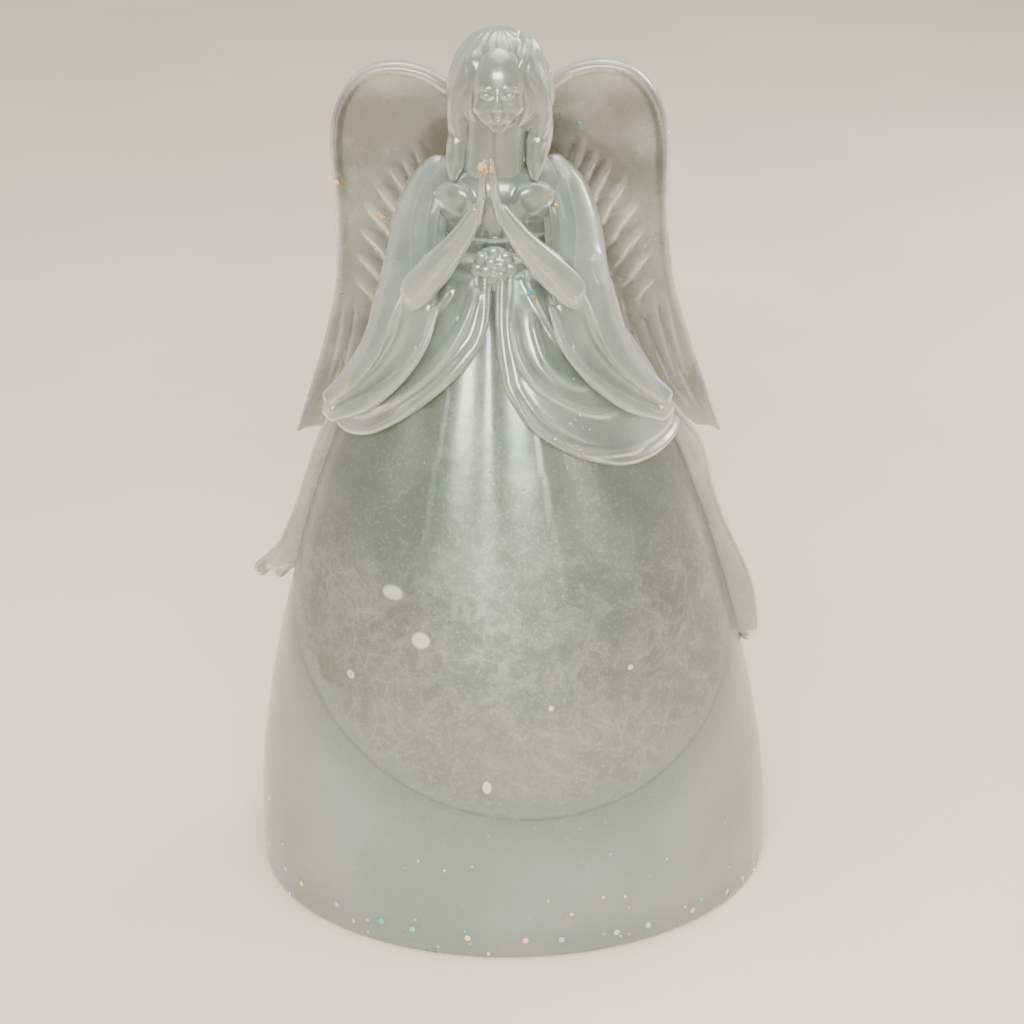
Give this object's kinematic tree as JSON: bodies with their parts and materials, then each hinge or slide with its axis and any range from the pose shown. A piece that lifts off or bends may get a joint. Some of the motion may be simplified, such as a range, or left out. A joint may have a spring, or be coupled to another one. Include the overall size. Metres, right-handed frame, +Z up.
{
  "type": "angel figurine",
  "caption": "praying angel figurine cast in translucent pearl resin, with folded wings, bell sleeves and a wide bell skirt that stands on its flat foot",
  "frame": {"origin": "the middle of the flat foot of the skirt, on the surface that it stands on", "axes": "+Z up; the figure faces -Y; +X is the right-hand side seen from the front"},
  "size_m": [0.067, 0.0562, 0.1092],
  "materials": {
    "pearl_resin": "translucent pearl resin with a fine mottle of mica, glossy",
    "frosted_resin": "hazy translucent resin, glossy surface",
    "clear_pearl_resin": "thin translucent pearl resin, glossy",
    "gold_glitter": "iridescent film flake, amber",
    "teal_glitter": "iridescent film flake, teal",
    "violet_glitter": "iridescent film flake, violet"
  },
  "bodies": {
    "root": {"skirt_lower_pour": "frosted_resin", "skirt_upper_pour": "pearl_resin", "torso": "pearl_resin", "neck": "pearl_resin", "head": "pearl_resin", "hair": "pearl_resin", "right_overskirt_panel": "pearl_resin", "left_overskirt_panel": "pearl_resin", "belt": "pearl_resin", "belt_rosette": "pearl_resin", "right_upper_sleeve": "pearl_resin", "left_upper_sleeve": "pearl_resin", "right_bell_sleeve": "pearl_resin", "left_bell_sleeve": "pearl_resin", "right_forearm": "pearl_resin", "left_forearm": "pearl_resin", "right_hand": "pearl_resin", "left_hand": "pearl_resin", "right_mantle": "clear_pearl_resin", "left_mantle": "clear_pearl_resin", "right_wing": "clear_pearl_resin", "left_wing": "clear_pearl_resin", "right_hair_lock": "pearl_resin", "left_hair_lock": "pearl_resin", "gold_flakes": "gold_glitter", "teal_flakes": "teal_glitter", "violet_flakes": "violet_glitter"}
  },
  "joints": []
}
